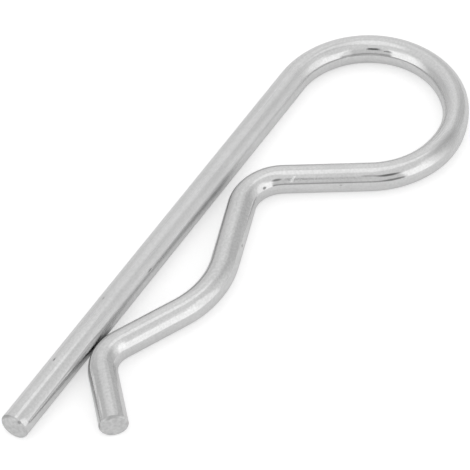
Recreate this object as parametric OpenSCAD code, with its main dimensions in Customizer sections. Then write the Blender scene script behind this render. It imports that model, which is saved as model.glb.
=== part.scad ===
// Spring clip of round wire for a cross-drilled hitch pin. One wire is bent flat:
// a straight leg, a loop, and a spring leg that falls into a bow, rises again to the
// straight leg and flares at its tip.
// The origin is the middle of the shaft that the clip holds, on the straight leg's
// axis. +X runs along that leg to its cut end, +Y points to the bow, and the bent
// wire lies flat in the XY plane with +Z up, along the shaft.

/* [Wire] */
// Diameter of the spring wire
wire_d = 4; // [3.2:0.1:4.6]
// Rounding of the rim at each cut end
rim_r = 0.4; // [0.1:0.05:1]

/* [Straight leg] */
// Length of the straight leg, from its cut end to the loop
leg_len = 71.4; // [66:0.1:90]

/* [Loop] */
// Radius of the loop, to the middle of the wire
loop_r = 12.3; // [11:0.1:16]
// Angle at which the wire leaves the loop, back towards the straight leg
return_angle = 58.4; // [50:0.1:70]

/* [Neck] */
// Gap between the two legs at the neck, the spring leg's first bend
neck_gap = 1.6; // [0.6:0.1:2.4]
// Radius of the neck, to the middle of the wire
neck_r = 6; // [4:0.1:8]
// Angle at which the spring leg falls away from the straight leg, past the neck
fall_angle = 18.7; // [16:0.1:26]

/* [Bow] */
// Diameter of the shaft that fits between the bow and the middle of the straight leg
shaft_d = 16; // [15:0.5:20]
// Radius of the bow, to the middle of the wire
bow_r = 14; // [9:0.1:17]

/* [Grip] */
// Angle at which the spring leg rises to the straight leg again
rise_angle = 25.2; // [20:0.1:32]
// Gap between the two legs at the grip, the bend that keeps the clip on its shaft
grip_gap = 0.55; // [0.55:0.05:1.5]
// Radius of the grip, to the middle of the wire
grip_r = 7; // [4:0.1:8]

/* [Tip] */
// Angle at which the tip flares away from the straight leg
flare_angle = 42; // [30:0.5:55]
// Straight length of the tip
tip_len = 7.2; // [5:0.1:12]

/* [Hidden] */
$fn = 96;

zinc_plate = "#c6c8ca";
wire_r = wire_d / 2;

// A bend is drawn this much thinner than straight wire, and reaches this far into it
// at both ends, so that its ends are buried there and the wire fuses into one solid
bend_thinning = 0.02;
bend_bite = 0.1;

// How far a bend carries the wire sideways, between running level with the straight
// leg and running at an angle to it
function sideways(radius, angle) = radius * (1 - cos(angle));

// Distances of the spring leg's axis from the straight leg's axis
loop_y = 2 * loop_r;
neck_y = wire_d + neck_gap;
bow_y = shaft_d / 2 + wire_r;
grip_y = wire_d + grip_gap;

// Length of the straight stretch between two bends that turn opposite ways, so that
// it meets both of them without a kink
function between(far_y, far_r, near_y, near_r, angle) =
    (far_y - sideways(far_r, angle) - near_y - sideways(near_r, angle)) / sin(angle);

return_len = between(loop_y, loop_r, neck_y, neck_r, return_angle);
fall_len = between(bow_y, bow_r, neck_y, neck_r, fall_angle);
rise_len = between(bow_y, bow_r, grip_y, grip_r, rise_angle);

// Distance from the straight leg's cut end to the middle of the bow, along that leg
seat_x = leg_len
    - (loop_r + neck_r) * sin(return_angle) - return_len * cos(return_angle)
    - (neck_r + bow_r) * sin(fall_angle) - fall_len * cos(fall_angle);

// The wire from its straight end to its tip: [length] is a straight stretch, and
// [radius, angle] a bend, which turns left where the angle is positive
stretches = [
    [leg_len - rim_r],
    [loop_r, -(180 + return_angle)],
    [return_len],
    [neck_r, return_angle + fall_angle],
    [fall_len],
    [bow_r, -(fall_angle + rise_angle)],
    [rise_len],
    [grip_r, rise_angle + flare_angle],
    [tip_len - rim_r]
];

// Cut end of the wire, with its rounded rim, facing -X
module cut_end() {
    rotate([0, 90, 0])
        translate([0, 0, -rim_r])
        rotate_extrude() {
            square([wire_r - rim_r, rim_r]);
            translate([wire_r - rim_r, rim_r])
                intersection() {
                    circle(r = rim_r);
                    translate([0, -rim_r]) square(rim_r);
                }
        }
}

// Straight wire along +X
module straight(length) {
    rotate([0, 90, 0]) cylinder(r = wire_r, h = length);
}

// Bent wire that sets off along +X
module bend(radius, angle) {
    bite_angle = asin(bend_bite / radius);
    mirror([0, angle < 0 ? 1 : 0, 0])
        translate([0, radius, 0])
        rotate(-90 - bite_angle)
        rotate_extrude(angle = abs(angle) + 2 * bite_angle)
        translate([radius, 0])
        circle(r = wire_r - bend_thinning / 2);
}

// The stretches from number i on, each one setting off where the last one ended
module wire(i = 0) {
    if (i == len(stretches)) {
        mirror([1, 0, 0]) cut_end();
    } else if (len(stretches[i]) == 1) {
        length = stretches[i][0];
        straight(length);
        translate([length, 0, 0]) wire(i + 1);
    } else {
        radius = stretches[i][0];
        angle = stretches[i][1];
        side = sign(angle);
        bend(radius, angle);
        translate([radius * sin(abs(angle)), side * sideways(radius, angle), 0])
            rotate(angle)
            wire(i + 1);
    }
}

module r_clip() {
    color(zinc_plate)
        translate([seat_x - rim_r, 0, 0])
        rotate(180)
        union() {
            cut_end();
            wire();
        }
}

r_clip();
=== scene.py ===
"""Hitch clip bent from one round wire, lying flat on a pale studio floor.

Laid out as an add-on: the sizes and colours are properties, the wire and the stage
are operators, and a panel in the 3D view's sidebar lists them. The scene is in
metres. The tables of marks and panels are in millimetres and degrees.
"""

from functools import partial
from math import cos, pi, radians, sin

import bpy
from bpy.props import (
    FloatProperty, FloatVectorProperty, IntProperty, PointerProperty,
)
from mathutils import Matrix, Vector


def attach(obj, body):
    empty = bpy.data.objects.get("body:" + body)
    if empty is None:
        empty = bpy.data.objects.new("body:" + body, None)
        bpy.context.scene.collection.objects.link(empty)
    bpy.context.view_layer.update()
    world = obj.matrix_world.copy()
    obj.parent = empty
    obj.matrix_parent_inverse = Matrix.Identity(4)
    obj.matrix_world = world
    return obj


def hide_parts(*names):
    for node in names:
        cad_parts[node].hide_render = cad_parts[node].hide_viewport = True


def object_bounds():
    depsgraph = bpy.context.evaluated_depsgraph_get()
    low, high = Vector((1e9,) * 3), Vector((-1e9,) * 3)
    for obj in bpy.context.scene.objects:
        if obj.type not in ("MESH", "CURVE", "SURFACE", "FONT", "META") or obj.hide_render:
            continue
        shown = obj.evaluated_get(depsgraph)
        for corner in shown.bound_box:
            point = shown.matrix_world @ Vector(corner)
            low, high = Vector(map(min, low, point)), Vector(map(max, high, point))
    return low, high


bl_info = {
    "name": "Hitch Clip",
    "version": (1, 0, 0),
    "blender": (4, 5, 0),
    "location": "View3D > Sidebar > Hitch Clip",
    "description": "Bends a spring clip for a hitch pin from one round wire",
    "category": "Add Mesh",
}

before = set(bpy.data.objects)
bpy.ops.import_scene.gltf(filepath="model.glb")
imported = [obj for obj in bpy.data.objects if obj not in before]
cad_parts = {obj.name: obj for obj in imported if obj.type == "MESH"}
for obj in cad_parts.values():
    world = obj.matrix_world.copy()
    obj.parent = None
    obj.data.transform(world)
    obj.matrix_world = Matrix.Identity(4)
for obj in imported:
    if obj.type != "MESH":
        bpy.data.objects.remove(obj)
CAD_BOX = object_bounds()

MM = 0.001
SENSOR_MM = 36.0


def linear(hex_colour):
    """Turn an sRGB hex colour into the linear numbers that shaders and lights use."""
    srgb = [int(hex_colour[i:i + 2], 16) / 255 for i in (1, 3, 5)]
    return tuple(c / 12.92 if c <= 0.04045 else ((c + 0.055) / 1.055) ** 2.4 for c in srgb)


# ---------------------------------------------------------------------------
# Properties
# ---------------------------------------------------------------------------

def size_mm(name, description, millimetres):
    """A length property whose default is given in millimetres."""
    return FloatProperty(name=name, description=description, default=millimetres * MM,
                         min=0.0, unit="LENGTH", precision=5)


def angle_deg(name, description, degrees):
    """An angle property whose default is given in degrees."""
    return FloatProperty(name=name, description=description, default=radians(degrees),
                         min=0.0, max=pi, unit="ROTATION")


def share(name, description, default):
    """A number from 0 to 1."""
    return FloatProperty(name=name, description=description, default=default,
                         min=0.0, max=1.0, subtype="FACTOR")


def colour(name, description, hex_colour):
    """A colour property whose default is given as an sRGB hex value."""
    return FloatVectorProperty(name=name, description=description, subtype="COLOR",
                               default=linear(hex_colour), min=0.0, max=1.0)


class ClipWireSettings(bpy.types.PropertyGroup):
    """Sizes of the bent wire, from its straight leg to its tip"""

    wire_d: size_mm("Wire diameter", "Diameter of the spring wire", 4)
    rim_r: size_mm("Rim radius", "Rounding of the rim at each cut end", 0.4)
    leg_len: size_mm("Straight leg", "Length of the leg, from its cut end to the loop", 71.4)
    loop_r: size_mm("Loop radius", "Radius of the loop, to the middle of the wire", 12.3)
    return_angle: angle_deg("Return angle", "Angle at which the wire leaves the loop", 58.4)
    neck_gap: size_mm("Neck gap", "Gap between the two legs at the neck", 1.6)
    neck_r: size_mm("Neck radius", "Radius of the neck, to the middle of the wire", 6)
    fall_angle: angle_deg("Fall angle", "Angle at which the spring leg leaves the neck", 18.7)
    shaft_d: size_mm("Shaft diameter", "Shaft that fits between the bow and the leg", 16)
    bow_r: size_mm("Bow radius", "Radius of the bow, to the middle of the wire", 14)
    rise_angle: angle_deg("Rise angle", "Angle at which the bow runs down to the grip", 25.2)
    grip_gap: size_mm("Grip gap", "Gap between the two legs at the grip", 0.175)
    grip_r: size_mm("Grip radius", "Radius of the grip, to the middle of the wire", 5)
    flare_angle: angle_deg("Flare angle", "Angle at which the tip leaves the leg", 42)
    tip_len: size_mm("Tip length", "Straight length of the tip", 8.8)

    press_place: size_mm("Press mark", "Where the bending tool pressed the loop, along the wire",
                         105.5)
    press_len: size_mm("Press length", "Length of the pressed stretch", 14)
    press_depth: share("Press depth", "How much thinner the wire is there, in its plane", 0.09)
    nick_turn: angle_deg("Nick", "Turn of the nick from the wire's top", 44)
    nick_w: size_mm("Nick width", "Width of the nick that the shear left", 1.1)
    nick_depth: size_mm("Nick depth", "Depth of the nick", 0.2)

    crown: size_mm("Crown", "Height of each cut face in its middle", 0.03)
    ring_step: size_mm("Ring step", "Distance between the mesh's rings", 0.4)
    face_rings: IntProperty(name="Face rings", description="Rings across a cut face",
                            default=8, min=2)
    rim_rings: IntProperty(name="Rim rings", description="Rings around a rim",
                           default=8, min=2)
    sides: IntProperty(name="Sides", description="Faces around the wire", default=96, min=12)


class ClipFinishSettings(bpy.types.PropertyGroup):
    """Colours and gloss of the wire's zinc plate"""

    plate: colour("Zinc plate", "Bright zinc plate on the drawn wire", "#DFDFDF")
    plate_dull: colour("Dull plate", "Plate where it is thin or rubbed", "#D1D1D1")
    cut_face: colour("Cut face", "Plate over the sheared ends of the wire", "#DFDFDF")
    cut_torn: colour("Torn face", "Plate where the shear tore the metal", "#CBCBCB")
    # Also the dark colour of the painted shade; painted highlights mix away from it
    pit_and_painted_shade: colour("Pits", "Small pits and edges that the plate left bare", "#6E6E6E")
    gloss: share("Roughness", "Roughness of the smooth plate", 0.09)
    cut_gloss: share("Cut roughness", "Roughness of the sheared ends", 0.5)


class ClipStageSettings(bpy.types.PropertyGroup):
    """Floor, lamps and camera around the clip"""

    floor: colour("Floor", "White card under the clip", "#DCDCDC")
    floor_glow: share("Floor glow", "Glow of the card in view", 0.50)
    floor_glow_in_metal: share("Floor glow in metal", "Glow of the card in reflections", 0.22)
    floor_size: size_mm("Floor size", "Side of the square floor", 3000)
    tent_level: share("Tent level", "Brightness of the tent's plain walls", 0.85)
    camera_at: FloatVectorProperty(name="Camera", description="Place of the camera",
                                   subtype="TRANSLATION", unit="LENGTH",
                                   default=(0.22501, 0.16460, 0.32562))
    camera_turn: FloatVectorProperty(name="Camera turn", description="Turn of the camera",
                                     subtype="EULER", unit="ROTATION",
                                     default=(radians(40.843), radians(2.107), radians(121.334)))
    lens: FloatProperty(name="Lens", description="Focal length, on a 36 mm wide sensor",
                        default=241.95, unit="CAMERA")


# ---------------------------------------------------------------------------
# Nodes
# ---------------------------------------------------------------------------

MATH = "ShaderNodeMath"
VECTOR_MATH = "ShaderNodeVectorMath"
COMBINE = "ShaderNodeCombineXYZ"
RAMP = "ShaderNodeMapRange"
NOISE = "ShaderNodeTexNoise"


def add_node(tree, kind, inputs=(), **settings):
    """Add a node with its settings, and set or link its inputs.

    Inputs are a list in the order of the sockets, or a dict by their names. Each one
    is a value, a socket, or a node that stands for its first output.
    """
    node = tree.nodes.new(kind)
    for name, value in settings.items():
        setattr(node, name, value)
    for key, value in inputs.items() if isinstance(inputs, dict) else enumerate(inputs):
        if isinstance(value, bpy.types.Node):
            value = next(output for output in value.outputs if output.enabled)
        if isinstance(value, bpy.types.NodeSocket):
            tree.links.new(value, node.inputs[key])
        else:
            node.inputs[key].default_value = value
    return node


def new_group(name, kind, outputs, inputs):
    """A node group with named sockets. Returns it, its add function and its inputs."""
    tree = bpy.data.node_groups.new(name, kind)
    for in_out, sockets in (("OUTPUT", outputs), ("INPUT", inputs)):
        for socket, socket_kind in sockets.items():
            tree.interface.new_socket(socket, in_out=in_out,
                                      socket_type="NodeSocket" + socket_kind)
    add = partial(add_node, tree)
    return tree, add, add("NodeGroupInput").outputs


# What the shape of a cut end depends on
CUT_END_SIZES = ("Face Rings", "Rim Rings", "Crown", "Rim Radius", "Wire Radius")


def make_cut_end_group():
    """A ring's number, counted from a cut end -> its depth below the end's highest
    point, its radius, and how much of it is cut face.

    The rings run out from the middle of the slightly crowned face, then around the rim.
    """
    tree, add, given = new_group(
        "Cut End", "GeometryNodeTree",
        {"Depth": "Float", "Radius": "Float", "Face": "Float"},
        {"Ring": "Float", **dict.fromkeys(CUT_END_SIZES, "Float")})
    across = add(RAMP, {"Value": given["Ring"], "From Max": given["Face Rings"]})
    on_rim = add(MATH, [given["Ring"], given["Face Rings"]], operation="SUBTRACT")
    turn = add(RAMP, {"Value": on_rim, "From Max": given["Rim Rings"], "To Max": pi / 2})
    face = add(RAMP, {"Value": turn, "From Max": pi / 2, "To Min": 1.0, "To Max": 0.0})

    bulge = add(MATH, [across, across], operation="MULTIPLY")
    rim_fall = add(MATH, [1.0, add(MATH, [turn], operation="COSINE")], operation="SUBTRACT")
    rim_depth = add(MATH, [given["Rim Radius"], rim_fall], operation="MULTIPLY")
    depth = add(MATH, [given["Crown"], bulge, rim_depth], operation="MULTIPLY_ADD")

    face_radius = add(MATH, [given["Wire Radius"], given["Rim Radius"]], operation="SUBTRACT")
    rim_reach = add(MATH, [given["Rim Radius"], add(MATH, [turn], operation="SINE")],
                    operation="MULTIPLY")
    radius = add(MATH, [face_radius, across, rim_reach], operation="MULTIPLY_ADD")
    add("NodeGroupOutput", {"Depth": depth, "Radius": radius, "Face": face})
    return tree


def make_station_group():
    """A ring's number -> how far along the wire it lies, its radius, and how much of it
    is cut face. Between the two cut ends the rings are evenly spaced.
    """
    tree, add, given = new_group(
        "Wire Station", "GeometryNodeTree",
        {"Distance": "Float", "Radius": "Float", "Face": "Float"},
        {"Ring": "Float", "Last Ring": "Float", "Length": "Float",
         **dict.fromkeys(CUT_END_SIZES, "Float")})
    shape = make_cut_end_group()
    sizes = {name: given[name] for name in CUT_END_SIZES}
    from_last = add(MATH, [given["Last Ring"], given["Ring"]], operation="SUBTRACT")
    first, last = (add("GeometryNodeGroup", {"Ring": ring, **sizes}, node_tree=shape).outputs
                   for ring in (given["Ring"], from_last))

    end_rings = add(MATH, [given["Face Rings"], given["Rim Rings"]], operation="ADD")
    last_wall_ring = add(MATH, [given["Last Ring"], end_rings], operation="SUBTRACT")
    end_depth = add(MATH, [given["Crown"], given["Rim Radius"]], operation="ADD")
    wall_len = add(MATH, [end_depth, -2.0, given["Length"]], operation="MULTIPLY_ADD")
    on_wall = add(RAMP, {"Value": given["Ring"], "From Min": end_rings,
                         "From Max": last_wall_ring, "To Max": wall_len})
    after_first = add(MATH, [first["Depth"], on_wall], operation="ADD")
    in_last = add(MATH, [end_depth, last["Depth"]], operation="SUBTRACT")
    add("NodeGroupOutput", {
        "Distance": add(MATH, [after_first, in_last], operation="ADD"),
        "Radius": add(MATH, [first["Radius"], last["Radius"]], operation="MINIMUM"),
        "Face": add(MATH, [first["Face"], last["Face"]], operation="MAXIMUM")})
    return tree


# The bends in the order in which the wire meets them, and the straight before each
BENDS = (("Loop", "Leg"), ("Neck", "Return"), ("Bow", "Fall"), ("Grip", "Rise"))

# Points nearer than this are one point, as at the middle of each cut face
WELD = 0.001 * MM

# A face belongs to a cut end from this share of cut face on
CUT_FROM = 0.001


def find_bends(add, given):
    """Add up where each bend starts and ends along the wire. Returns its angle, start
    and end for each, and the wire's whole length.
    """
    bends, here = [], 0.0
    for bend, straight in BENDS:
        start = add(MATH, [here, given[straight + " Length"]], operation="ADD")
        angle = add(MATH, [given[bend + " Angle"]], operation="ABSOLUTE")
        here = add(MATH, [given[bend + " Radius"], angle, start], operation="MULTIPLY_ADD")
        bends.append((given[bend + " Angle"], start, here))
    return bends, add(MATH, [here, given["Tip Length"]], operation="ADD")


def number_rings(add, given, wire_len):
    """Number the rings as the points of a line. Returns the line, and the stations of
    each ring and of the next one.
    """
    end_rings = add(MATH, [given["Face Rings"], given["Rim Rings"]], operation="ADD")
    steps = add(MATH, [wire_len, given["Ring Step"]], operation="DIVIDE")
    last_ring = add(MATH, [end_rings, 2.0, add(MATH, [steps], operation="CEIL")],
                    operation="MULTIPLY_ADD")
    ring_count = add(MATH, [last_ring, 1.0], operation="ADD")
    line = add("GeometryNodeResampleCurve",
               {"Curve": add("GeometryNodeCurvePrimitiveLine"), "Count": ring_count})
    ring = add("GeometryNodeInputIndex")
    next_ring = add(MATH, [ring, 1.0], operation="ADD")
    sizes = {name: given[name] for name in CUT_END_SIZES}
    station = make_station_group()
    this, following = (
        add("GeometryNodeGroup",
            {"Ring": number, "Last Ring": last_ring, "Length": wire_len, **sizes},
            node_tree=station).outputs
        for number in (ring, next_ring))
    return line, this, following


def step_ahead(add, bends, this, following):
    """The step from each ring to the next one. Its heading is the sum of what every
    bend has turned so far, and the straight leg sets off towards -X, half a turn.
    """
    both = add(MATH, [following["Distance"], this["Distance"]], operation="ADD")
    halfway = add(MATH, [both, 0.5], operation="MULTIPLY")
    heading = pi
    for angle, start, end in bends:
        turned = add(RAMP, {"Value": halfway, "From Min": start, "From Max": end,
                            "To Max": angle})
        heading = add(MATH, [heading, turned], operation="ADD")
    length = add(MATH, [following["Distance"], this["Distance"]], operation="SUBTRACT")
    return add(COMBINE, {
        "X": add(MATH, [length, add(MATH, [heading], operation="COSINE")],
                 operation="MULTIPLY"),
        "Y": add(MATH, [length, add(MATH, [heading], operation="SINE")],
                 operation="MULTIPLY")})


def press_loop(add, given, spoke, ring):
    """Where the skin lies, with the wire a little thinner in its plane at the mark of
    the bending tool.
    """
    off = add(MATH, [ring["Distance"], given["Press Place"]], operation="SUBTRACT")
    off = add(MATH, [off], operation="ABSOLUTE")
    mark_end = add(MATH, [given["Press Length"], 0.5], operation="MULTIPLY")
    pressed = add(RAMP, {"Value": off, "From Max": mark_end,
                         "To Min": given["Press Depth"], "To Max": 0.0},
                  interpolation_type="SMOOTHSTEP")
    left = add(MATH, [1.0, pressed], operation="SUBTRACT")
    squeeze = add(COMBINE, {"X": left, "Y": left, "Z": 1.0})
    return add(VECTOR_MATH, [spoke, squeeze, ring["Middle"]], operation="MULTIPLY_ADD")


def nick_rim(add, given, skin):
    """Push the nick that the shear left into the rim of the straight leg."""
    drawn = add("GeometryNodeInputNamedAttribute", {"Name": "drawn"},
                data_type="FLOAT_VECTOR")
    off = add(VECTOR_MATH, [drawn, given["Nick Place"]], operation="DISTANCE")
    nick_end = add(MATH, [given["Nick Width"], 0.5], operation="MULTIPLY")
    dent = add(RAMP, {"Value": off.outputs["Value"], "From Max": nick_end,
                      "To Min": given["Nick Depth"], "To Max": 0.0},
               interpolation_type="SMOOTHSTEP")
    push = add(VECTOR_MATH, {"Vector": add("GeometryNodeInputNormal"),
                             "Scale": add(MATH, [dent, -1.0], operation="MULTIPLY")},
               operation="SCALE")
    return add("GeometryNodeSetPosition", {"Geometry": skin, "Offset": push})


def make_wire_tree():
    """The whole clip: one wire whose heading turns at each bend."""
    bend_sizes = {}
    for bend, straight in BENDS:
        bend_sizes |= {straight + " Length": "Float", bend + " Radius": "Float",
                       bend + " Angle": "Float"}
    tree, add, given = new_group(
        "Bent Wire", "GeometryNodeTree", {"Wire": "Geometry"},
        {**bend_sizes, "Tip Length": "Float", "Free End": "Vector", "Wire Radius": "Float",
         "Rim Radius": "Float", "Crown": "Float", "Press Place": "Float",
         "Press Length": "Float", "Press Depth": "Float", "Nick Place": "Vector",
         "Nick Width": "Float", "Nick Depth": "Float", "Ring Step": "Float",
         "Face Rings": "Int", "Rim Rings": "Int", "Sides": "Int",
         "Wall": "Material", "Cut Face": "Material"})

    # The middle of the wire, bent
    bends, wire_len = find_bends(add, given)
    line, this, following = number_rings(add, given, wire_len)
    walked = add("GeometryNodeAccumulateField",
                 {"Value": step_ahead(add, bends, this, following)},
                 data_type="FLOAT_VECTOR", domain="POINT").outputs["Trailing"]
    middle = add(VECTOR_MATH, [walked, given["Free End"]], operation="ADD")
    path = add("GeometryNodeSetPosition", {"Geometry": line, "Position": middle})
    path = add("GeometryNodeSetCurveNormal", {"Curve": path}, mode="Z_UP")

    # Its skin, and what each ring and each side carries on to it
    carried = add("GeometryNodeCaptureAttribute", {"Geometry": path}, domain="POINT")
    for kind, name, value in (("VECTOR", "Middle", middle.outputs[0]),
                              ("FLOAT", "Distance", this["Distance"]),
                              ("FLOAT", "Face", this["Face"])):
        carried.capture_items.new(kind, name)
        tree.links.new(value, carried.inputs[name])
    ring = carried.outputs
    circle = add("GeometryNodeCurvePrimitiveCircle",
                 {"Resolution": given["Sides"], "Radius": 1.0}, mode="RADIUS")
    around = add("GeometryNodeCaptureAttribute", {"Geometry": circle}, domain="POINT")
    around.capture_items.new("VECTOR", "Section")
    tree.links.new(add("GeometryNodeInputPosition").outputs[0], around.inputs["Section"])
    skin = add("GeometryNodeCurveToMesh",
               {"Curve": carried, "Profile Curve": around, "Scale": this["Radius"]})
    spoke = add(VECTOR_MATH, [add("GeometryNodeInputPosition"), ring["Middle"]],
                operation="SUBTRACT")
    skin = add("GeometryNodeSetPosition",
               {"Geometry": skin, "Position": press_loop(add, given, spoke, ring)})
    skin = add("GeometryNodeMergeByDistance", {"Geometry": skin, "Distance": WELD})

    # Where each point lay on the wire before it was bent, so that marks follow the
    # wire: across it from side to side, across it from top to bottom, and along it
    across = add(VECTOR_MATH, [spoke], operation="LENGTH").outputs["Value"]
    section = add(VECTOR_MATH, {"Vector": around.outputs["Section"], "Scale": across},
                  operation="SCALE")
    along = add(COMBINE, {"Z": ring["Distance"]})
    drawn = add(VECTOR_MATH, [section, along], operation="ADD")
    skin = add("GeometryNodeStoreNamedAttribute",
               {"Geometry": skin, "Name": "drawn", "Value": drawn},
               data_type="FLOAT_VECTOR", domain="POINT")
    # How much of each point is cut face: 1 on the face, down to 0 at the rim's end
    skin = add("GeometryNodeStoreNamedAttribute",
               {"Geometry": skin, "Name": "cut", "Value": ring["Face"]},
               data_type="FLOAT", domain="POINT")
    skin = nick_rim(add, given, skin)

    # Smooth shading, and the two finishes
    skin = add("GeometryNodeSetShadeSmooth", {"Geometry": skin})
    skin = add("GeometryNodeRealizeInstances", {"Geometry": skin})
    skin = add("GeometryNodeSetMaterial", {"Geometry": skin, "Material": given["Wall"]})
    sheared = add(MATH, [ring["Face"], CUT_FROM], operation="GREATER_THAN")
    skin = add("GeometryNodeSetMaterial",
               {"Geometry": skin, "Selection": sheared, "Material": given["Cut Face"]})
    add("NodeGroupOutput", {"Wire": skin})
    return tree


def plain_mesh(piece):
    """Turn a piece's evaluated nodes into a plain mesh, and drop the modifier."""
    evaluated = piece.evaluated_get(bpy.context.evaluated_depsgraph_get())
    mesh = bpy.data.meshes.new_from_object(evaluated)
    mesh.name = piece.name
    piece.modifiers.clear()
    piece.data = mesh


# ---------------------------------------------------------------------------
# Materials
# ---------------------------------------------------------------------------

def new_material(name):
    """An empty material. Returns it and its add function."""
    material = bpy.data.materials.new(name)
    material.use_nodes = True
    material.node_tree.nodes.clear()
    return material, partial(add_node, material.node_tree)


# Small marks in the plate, in mm and degrees: distance along the wire, turn from its
# top towards the outside of the loop, length along it, width, and how bare the metal
# is there. The four below 0, at the end of the return, are a painted highlight.
PLATE_MARKS = (
    (11.0, 20, 0.8, 0.36, 0.8),
    (23.0, 22, 0.7, 0.30, 0.5),
    (30.8, -58, 1.3, 0.34, 0.6),
    (87.7, -49, 1.8, 0.34, 0.5),
    (126.8, 73, 0.5, 0.30, 0.25),
    (132.4, 46, 0.4, 0.30, 0.4),
    (133.2, 50, 0.4, 0.30, 0.3),
    # Painted highlight: brighter than the plate, beside the two dark spots above
    (133.65, 52.0, 0.42, 0.40, -0.14),
    (133.50, 45.5, 0.42, 0.40, -0.22),
    (133.35, 39.0, 0.42, 0.40, -0.22),
    (133.20, 32.5, 0.42, 0.40, -0.14),
    (138.6, 56, 1.0, 0.55, 0.85),
    (150.5, 66, 0.8, 0.35, 0.5),
)

# Painted shade and painted highlights on the plate, listed in the same way: painted
# contact shade where the grip springs against the leg, painted shade and a painted
# highlight on the loop, painted reflections of the tent's dark slot and seam on the
# return, and painted highlights on the grip's bend and along the tip. Below 0 a mark
# is brighter.
PAINTED_LIGHT_MARKS = (
    # Painted contact shade where the grip springs against the leg, and a painted highlight
    # beside it
    (17.6, -98, 8.0, 2.30, 1.2),
    (16.2, -75, 6.5, 1.00, -0.4),
    # On the loop: painted shade, a painted highlight, and painted shade on its outer side
    (78.5, -12, 11.0, 1.20, 0.16),
    (80.7, -55, 2.6, 1.70, -0.45),
    (111.5, 32, 9.0, 3.20, 0.3),
    # On the return: painted reflections of the tent's dark slot and of the seam under it
    (120.4, 41, 4.4, 0.46, 1.0),
    (122.8, 38, 3.6, 0.42, 0.4),
    (119.9, 62, 4.0, 0.50, 0.5),
    (135.9, 42, 2.6, 0.48, 0.8),
    # Painted highlights on the grip's bend and along the tip
    (174.6, 36, 4.4, 1.90, -0.26),
    (181.4, -46, 6.4, 0.50, -0.45),
    (185.4, -40, 5.0, 0.46, -0.45),
)

# Satin stretches of the plate: distance along the wire from and to, with the blur at
# each end, and how much rougher each is
SATIN_STRETCHES = (
    ((16, 74, 8, 4), 0.20),
    ((95, 114, 4, 3), 0.16),
    ((142, 157, 3, 3), 0.08),
)

# Painted shade along stretches of the two cut ends' rims, listed in the same way as
# the small marks
PAINTED_RIM_SHADE = (
    (0.2, 40, 2.0, 3.4, 0.4),
    (0.2, 125, 2.0, 2.4, 0.8),
    (0.2, -33, 1.0, 0.8, 0.5),
    (187.5, 0, 2.0, 3.4, 0.3),
    (187.5, -80, 1.2, 1.6, 0.5),
    (187.5, 120, 2.0, 2.4, 0.4),
)

# The middle of a mark is at its full strength, up to this share of the way to its edge
MARK_CORE = 0.3

# Relief of the plate, in mm from low to high
GRAIN_RELIEF = 0.0015
GROOVE_RELIEF = 0.003
MARK_RELIEF = 0.04
TEAR_RELIEF = 0.03

# How much the draw grooves take from the plate's roughness and add to it
GROOVE_SHINE = 0.03
GROOVE_HAZE = 0.05

# The values between which most of a noise lies
NOISE_SPAN = {"From Min": 0.35, "From Max": 0.65}


def fade_outside(add, amount, place, span):
    """Fade an amount to nothing outside a span: from, to, and the blur at each edge."""
    low, high, low_blur, high_blur = span
    for edge, blur in ((low, low_blur), (high, -high_blur)):
        inside = add(RAMP, [place, edge - blur, edge + blur],
                     interpolation_type="SMOOTHSTEP")
        amount = add(MATH, [amount, inside], operation="MULTIPLY")
    return amount


def on_wire(wire_r, turn, along):
    """Where a point lay on the wire before it was bent: its turn from the top towards
    the outside of the loop, and its distance along the wire.
    """
    return (-wire_r * sin(turn), -wire_r * cos(turn), along)


def mark_plate(add, drawn, wire_r, marks):
    """Find small marks on the wire. Returns how deep each point lies in one, and how far
    its colour goes towards the marks' dark colour: metal without its plate in some
    marks, painted shade in others, and a painted highlight where the share is below 0.
    """
    depth, bare_and_painted_light = 0.0, 0.0
    for along, turn, length, width, bareness_and_painted_light in marks:
        place = on_wire(wire_r, radians(turn), along * MM)
        reach = (width * MM / 2, width * MM / 2, length * MM / 2)
        off = add(VECTOR_MATH, [drawn, place], operation="SUBTRACT")
        off = add(VECTOR_MATH, [off, reach], operation="DIVIDE")
        off = add(VECTOR_MATH, [off], operation="LENGTH").outputs["Value"]
        mark = add(RAMP, {"Value": off, "From Min": MARK_CORE, "From Max": 1.0,
                          "To Min": 1.0, "To Max": 0.0}, interpolation_type="SMOOTHSTEP")
        depth = add(MATH, [depth, mark], operation="MAXIMUM")
        bare_and_painted_light = add(MATH, [mark, bareness_and_painted_light, bare_and_painted_light], operation="MULTIPLY_ADD")
    return depth, bare_and_painted_light


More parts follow.
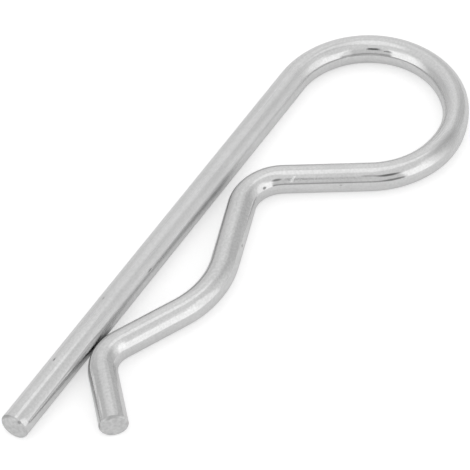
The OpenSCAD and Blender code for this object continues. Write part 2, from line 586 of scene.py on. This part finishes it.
def make_zinc_plate(finish, wire_r):
    """Bright zinc plate over drawn spring wire.

    The draw leaves fine grooves along the wire, so its reflections are streaked along
    it, and the plate over them is bright, faintly grained and a little cloudy.
    """
    material, add = new_material("Bright_Zinc_Plate_On_Drawn_Wire")
    drawn = add("ShaderNodeAttribute", attribute_name="drawn").outputs["Vector"]
    # Draw grooves: 6.5 to a millimetre across the wire, each about 12.5 mm long
    scale = (6.5 / MM, 6.5 / MM, 1 / (12.5 * MM))
    grooves = add("ShaderNodeMapping", {"Vector": drawn, "Scale": scale})
    grooves = add(NOISE, {"Vector": grooves, "Scale": 1.0, "Detail": 3.0})
    # Streaks of thinner plate: 1.7 to a millimetre, each about 10 mm long
    scale = (1.7 / MM, 1.7 / MM, 1 / (10 * MM))
    streaks = add("ShaderNodeMapping", {"Vector": drawn, "Scale": scale})
    streaks = add(NOISE, {"Vector": streaks, "Scale": 1.0, "Detail": 2.0})
    # Grain of the plate: over 10 to a millimetre, drawn as 3.3 so that it shows
    grain = add(NOISE, {"Vector": drawn, "Scale": 3.3 / MM, "Detail": 2.0})
    # Clouds in the plate: about 4 mm wide
    clouds = add(NOISE, {"Vector": drawn, "Scale": 1 / (4 * MM), "Detail": 3.0})

    # How dull the plate is: half from the grain, a quarter each from streaks and clouds
    patches = add(MATH, [streaks, clouds], operation="ADD")
    patches = add(MATH, [patches, 0.25], operation="MULTIPLY")
    dull = add(MATH, [grain, 0.5, patches], operation="MULTIPLY_ADD")
    dull = add(RAMP, {"Value": dull, **NOISE_SPAN})
    tone = add("ShaderNodeMix", {"Factor": dull, "A": (*finish.plate, 1),
                                 "B": (*finish.plate_dull, 1)}, data_type="RGBA")

    marks, bare_and_painted_light = mark_plate(add, drawn, wire_r, PLATE_MARKS)
    # Painted shade and painted highlights, mixed into the colour together with the small marks
    _, painted_light = mark_plate(add, drawn, wire_r, PAINTED_LIGHT_MARKS)
    bare_and_painted_light = add(MATH, [bare_and_painted_light, painted_light], operation="ADD")
    pits_and_painted_light = add("ShaderNodeMix", {"Factor": bare_and_painted_light, "A": tone, "B": (*finish.pit_and_painted_shade, 1)},
                 data_type="RGBA", clamp_factor=False)

    # The grooves are hazy where they stand up, and some stretches are satin
    rough = add(RAMP, {"Value": grooves, "From Min": 0.3, "From Max": 0.7,
                       "To Min": finish.gloss - GROOVE_SHINE,
                       "To Max": finish.gloss + GROOVE_HAZE})
    along = add("ShaderNodeSeparateXYZ", [drawn]).outputs["Z"]
    along = add(MATH, [along, MM], operation="DIVIDE")
    for stretch, rougher in SATIN_STRETCHES:
        satin = fade_outside(add, rougher, along, stretch)
        rough = add(MATH, [rough, satin], operation="ADD")

    # Grain and grooves stand up from the plate, and the marks lie in it
    bump = add("ShaderNodeBump", {"Strength": 1.0, "Distance": GRAIN_RELIEF * MM,
                                  "Height": grain})
    bump = add("ShaderNodeBump", {"Strength": 1.0, "Distance": GROOVE_RELIEF * MM,
                                  "Height": grooves, "Normal": bump})
    bump = add("ShaderNodeBump", {"Strength": 1.0, "Distance": MARK_RELIEF * MM,
                                  "Height": marks, "Normal": bump}, invert=True)
    shader = add("ShaderNodeBsdfPrincipled", {"Base Color": pits_and_painted_light, "Metallic": 1.0,
                                              "Roughness": rough, "Normal": bump})
    add("ShaderNodeOutputMaterial", {"Surface": shader})
    return material


def make_cut_face(finish, wire_r):
    """Zinc plate over the sheared ends of the wire: grainy, dull and mottled, with
    painted shade along stretches of the rim.
    """
    material, add = new_material("Zinc_Plate_On_Sheared_Wire_End")
    drawn = add("ShaderNodeAttribute", attribute_name="drawn").outputs["Vector"]
    # Tears of the shear: 1.6 to a millimetre
    tears = add(NOISE, {"Vector": drawn, "Scale": 1.6 / MM, "Detail": 3.0})
    torn = add(RAMP, {"Value": tears, **NOISE_SPAN})
    tone = add("ShaderNodeMix", {"Factor": torn, "A": (*finish.cut_face, 1),
                                 "B": (*finish.cut_torn, 1)}, data_type="RGBA")
    # The painted shade lies on the rim, and fades out just inside it
    cut = add("ShaderNodeAttribute", attribute_name="cut").outputs["Fac"]
    edge = add(RAMP, {"Value": cut, "From Min": 0.55, "From Max": 1.0,
                      "To Min": 1.0, "To Max": 0.0}, interpolation_type="SMOOTHSTEP")
    _, painted_shade = mark_plate(add, drawn, wire_r, PAINTED_RIM_SHADE)
    dark = add(MATH, [edge, painted_shade], operation="MULTIPLY")
    tone = add("ShaderNodeMix", {"Factor": dark, "A": tone, "B": (*finish.pit_and_painted_shade, 1)},
               data_type="RGBA")
    bump = add("ShaderNodeBump", {"Strength": 1.0, "Distance": TEAR_RELIEF * MM,
                                  "Height": tears})
    shader = add("ShaderNodeBsdfPrincipled",
                 {"Base Color": tone, "Metallic": 1.0,
                  "Roughness": finish.cut_gloss, "Normal": bump})
    add("ShaderNodeOutputMaterial", {"Surface": shader})
    return material


def make_white_card(stage):
    """Matt white card.

    It glows a little in view and in the metal, so that it reads as white there, and
    it still keeps the clip's shadow.
    """
    material, add = new_material("Matt_White_Card")
    path = add("ShaderNodeLightPath").outputs
    mirrored = add(MATH, [path["Is Glossy Ray"], path["Is Transmission Ray"]],
                   operation="MAXIMUM")
    in_view = add(MATH, [path["Is Camera Ray"], stage.floor_glow], operation="MULTIPLY")
    glow = add(MATH, [mirrored, stage.floor_glow_in_metal, in_view],
               operation="MULTIPLY_ADD")
    card = add("ShaderNodeBsdfDiffuse", {"Color": (*stage.floor, 1)})
    lit = add("ShaderNodeEmission", {"Strength": glow})
    add("ShaderNodeOutputMaterial", {"Surface": add("ShaderNodeAddShader", [card, lit])})
    return material


# Panels in the walls of the light tent: azimuth from and to, with the blur at each
# edge, then elevation in the same way, and how much brighter than the plain wall each
# is. Azimuths run from +X towards +Y.
WALL_PANELS = {
    "right softbox": ((66, 97, 4, 6), (-3, 45, 3, 8), 0.50),
    "spill beside the right softbox": ((97, 119, 6, 5), (-6, 54, 4, 6), 0.34),
    "left softbox": ((-46, -1, 14, 3), (-3, 50, 3, 9), 0.50),
    "front flap": ((-1, 66, 3, 3), (8, 42, 4, 3), -0.12),
    "slot over the flap": ((13, 30.5, 4, 2), (38, 54, 3, 3), -0.84),
    "seam under the flap": ((-1, 66, 3, 3), (1, 12, 2, 3), -0.46),
    "dim right corner": ((141, 178, 15, 2), (-10, 54, 8, 12), -0.28),
    "dim left corner": ((-106, -56, 12, 6), (-10, 44, 5, 12), -0.24),
    "back wall": ((-164, -132, 8, 8), (26, 52, 8, 6), 0.09),
    "foot of the back wall": ((-190, -160, 1, 8), (-8, 52, 4, 8), -0.13),
    "foot of the left wall": ((-134, -106, 6, 6), (-10, 28, 4, 8), -0.07),
}

# The panel in its roof: where it lies along X and along Y for each unit of height, and
# how much brighter than the plain roof it is
ROOF_PANEL = ((-0.60, 0.14, 0.06, 0.08), (-0.33, 0.07, 0.06, 0.07), 0.31)

# The least height that a direction is given, so that none is divided by nothing
LEAST_HEIGHT = 0.001


def make_light_tent(stage):
    """A white light tent: its panels differ a little in brightness.

    What the camera sees of it is plain white.
    """
    world = bpy.data.worlds.new("Light_Tent")
    world.use_nodes = True
    world.node_tree.nodes.clear()
    add = partial(add_node, world.node_tree)
    towards = add("ShaderNodeTexCoord").outputs["Generated"]
    x, y, z = add("ShaderNodeSeparateXYZ", [towards]).outputs
    azimuth = add(MATH, [add(MATH, [y, x], operation="ARCTAN2")], operation="DEGREES")
    elevation = add(MATH, [add(MATH, [z], operation="ARCSINE")], operation="DEGREES")
    height = add(MATH, [z, LEAST_HEIGHT], operation="MAXIMUM")
    roof_x = add(MATH, [x, height], operation="DIVIDE")
    roof_y = add(MATH, [y, height], operation="DIVIDE")

    panels = [((azimuth, azimuths), (elevation, elevations), brighter)
              for azimuths, elevations, brighter in WALL_PANELS.values()]
    along_x, along_y, brighter = ROOF_PANEL
    panels.append(((roof_x, along_x), (roof_y, along_y), brighter))
    brightness = 1.0
    for *spans, brighter in panels:
        amount = brighter
        for place, span in spans:
            amount = fade_outside(add, amount, place, span)
        brightness = add(MATH, [brightness, amount], operation="ADD")
    strength = add(MATH, [brightness, stage.tent_level], operation="MULTIPLY")

    in_view = add("ShaderNodeLightPath").outputs["Is Camera Ray"]
    shown = add("ShaderNodeMix", {"Factor": in_view, "A": strength, "B": 1.0},
                data_type="FLOAT")
    back = add("ShaderNodeBackground", {"Color": (1, 1, 1, 1), "Strength": shown})
    add("ShaderNodeOutputWorld", {"Surface": back})
    return world


# ---------------------------------------------------------------------------
# Operators
# ---------------------------------------------------------------------------

def sideways(radius, angle):
    """How far a bend carries the wire across, from level to the angle."""
    return radius * (1 - cos(angle))


def straight_between(far_y, far_r, near_y, near_r, angle):
    """Straight length between two bends that turn opposite ways."""
    rise = far_y - sideways(far_r, angle) - near_y - sideways(near_r, angle)
    return rise / sin(angle)


def wire_values(wire, finish):
    """What the nodes of the bent wire are given. The straights between the bends follow
    from the gaps, the shaft and the bends' angles.
    """
    wire_r = wire.wire_d / 2
    loop_y = 2 * wire.loop_r
    neck_y = wire.wire_d + wire.neck_gap
    bow_y = wire.shaft_d / 2 + wire_r
    grip_y = wire.wire_d + wire.grip_gap
    return_len = straight_between(loop_y, wire.loop_r, neck_y, wire.neck_r,
                                  wire.return_angle)
    fall_len = straight_between(bow_y, wire.bow_r, neck_y, wire.neck_r, wire.fall_angle)
    rise_len = straight_between(bow_y, wire.bow_r, grip_y, wire.grip_r, wire.rise_angle)
    free_end_x = (
        wire.leg_len
        - (wire.loop_r + wire.neck_r) * sin(wire.return_angle)
        - return_len * cos(wire.return_angle)
        - (wire.neck_r + wire.bow_r) * sin(wire.fall_angle)
        - fall_len * cos(wire.fall_angle))
    return {
        "Leg Length": wire.leg_len, "Loop Radius": wire.loop_r,
        "Loop Angle": -(pi + wire.return_angle),
        "Return Length": return_len, "Neck Radius": wire.neck_r,
        "Neck Angle": wire.return_angle + wire.fall_angle,
        "Fall Length": fall_len, "Bow Radius": wire.bow_r,
        "Bow Angle": -(wire.fall_angle + wire.rise_angle),
        "Rise Length": rise_len, "Grip Radius": wire.grip_r,
        "Grip Angle": wire.rise_angle + wire.flare_angle,
        "Tip Length": wire.tip_len, "Free End": (free_end_x, 0.0, 0.0),
        "Wire Radius": wire_r, "Rim Radius": wire.rim_r, "Crown": wire.crown,
        "Press Place": wire.press_place, "Press Length": wire.press_len,
        "Press Depth": wire.press_depth,
        "Nick Place": on_wire(wire_r, -wire.nick_turn, wire.rim_r),
        "Nick Width": wire.nick_w, "Nick Depth": wire.nick_depth,
        "Ring Step": wire.ring_step, "Face Rings": wire.face_rings,
        "Rim Rings": wire.rim_rings, "Sides": wire.sides,
        "Wall": make_zinc_plate(finish, wire_r), "Cut Face": make_cut_face(finish, wire_r),
    }


class OBJECT_OT_hitch_clip_wire(bpy.types.Operator):
    """Bend the clip from one round wire and plate it"""

    bl_idname = "object.hitch_clip_wire"
    bl_label = "Bend the Wire"

    def execute(self, context):
        scene = context.scene
        values = wire_values(scene.hitch_clip_wire, scene.hitch_clip_finish)
        piece = bpy.data.objects.new("clip_wire", bpy.data.meshes.new("clip_wire"))
        scene.collection.objects.link(piece)
        tree = make_wire_tree()
        modifier = piece.modifiers.new("Bent Wire", "NODES")
        modifier.node_group = tree
        for socket in tree.interface.items_tree:
            if socket.in_out == "INPUT":
                modifier[socket.identifier] = values[socket.name]
        plain_mesh(piece)
        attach(piece, "root")
        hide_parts("r_clip")
        return {"FINISHED"}


class OBJECT_OT_hitch_clip_stage(bpy.types.Operator):
    """Set up the floor, the light tent and the camera"""

    bl_idname = "object.hitch_clip_stage"
    bl_label = "Set the Stage"

    def execute(self, context):
        scene = context.scene
        stage = scene.hitch_clip_stage
        lowest = CAD_BOX[0][2]

        half = stage.floor_size / 2
        mesh = bpy.data.meshes.new("floor")
        mesh.from_pydata([(-half, -half, lowest), (half, -half, lowest),
                          (half, half, lowest), (-half, half, lowest)], [], [(0, 1, 2, 3)])
        mesh.materials.append(make_white_card(stage))
        floor = bpy.data.objects.new("floor", mesh)
        scene.collection.objects.link(floor)

        scene.world = make_light_tent(stage)

        camera = bpy.data.objects.new("camera", bpy.data.cameras.new("camera"))
        scene.collection.objects.link(camera)
        camera.location = stage.camera_at
        camera.rotation_euler = stage.camera_turn
        camera.data.sensor_width = SENSOR_MM
        camera.data.lens = stage.lens
        camera.data.clip_start = 0.01
        camera.data.clip_end = 100.0
        scene.camera = camera
        scene.view_settings.view_transform = "Standard"
        return {"FINISHED"}


class VIEW3D_PT_hitch_clip(bpy.types.Panel):
    """Sizes, finish and stage of the clip"""

    bl_idname = "VIEW3D_PT_hitch_clip"
    bl_label = "Hitch Clip"
    bl_space_type = "VIEW_3D"
    bl_region_type = "UI"
    bl_category = "Hitch Clip"

    def draw(self, context):
        layout = self.layout
        for group, operator in (("hitch_clip_wire", "object.hitch_clip_wire"),
                                ("hitch_clip_finish", None),
                                ("hitch_clip_stage", "object.hitch_clip_stage")):
            settings = getattr(context.scene, group)
            box = layout.box()
            for name in settings.__annotations__:
                box.prop(settings, name)
            if operator:
                box.operator(operator)


CLASSES = (ClipWireSettings, ClipFinishSettings, ClipStageSettings,
           OBJECT_OT_hitch_clip_wire, OBJECT_OT_hitch_clip_stage, VIEW3D_PT_hitch_clip)


def register():
    """Add the properties, operators and panel to Blender."""
    for cls in CLASSES:
        bpy.utils.register_class(cls)
    bpy.types.Scene.hitch_clip_wire = PointerProperty(type=ClipWireSettings)
    bpy.types.Scene.hitch_clip_finish = PointerProperty(type=ClipFinishSettings)
    bpy.types.Scene.hitch_clip_stage = PointerProperty(type=ClipStageSettings)


def unregister():
    """Take them out again."""
    for name in ("hitch_clip_wire", "hitch_clip_finish", "hitch_clip_stage"):
        delattr(bpy.types.Scene, name)
    for cls in reversed(CLASSES):
        bpy.utils.unregister_class(cls)


def main():
    """Make the clip and its stage."""
    register()
    bpy.ops.object.hitch_clip_wire()
    bpy.ops.object.hitch_clip_stage()


if __name__ == "__main__":
    main()
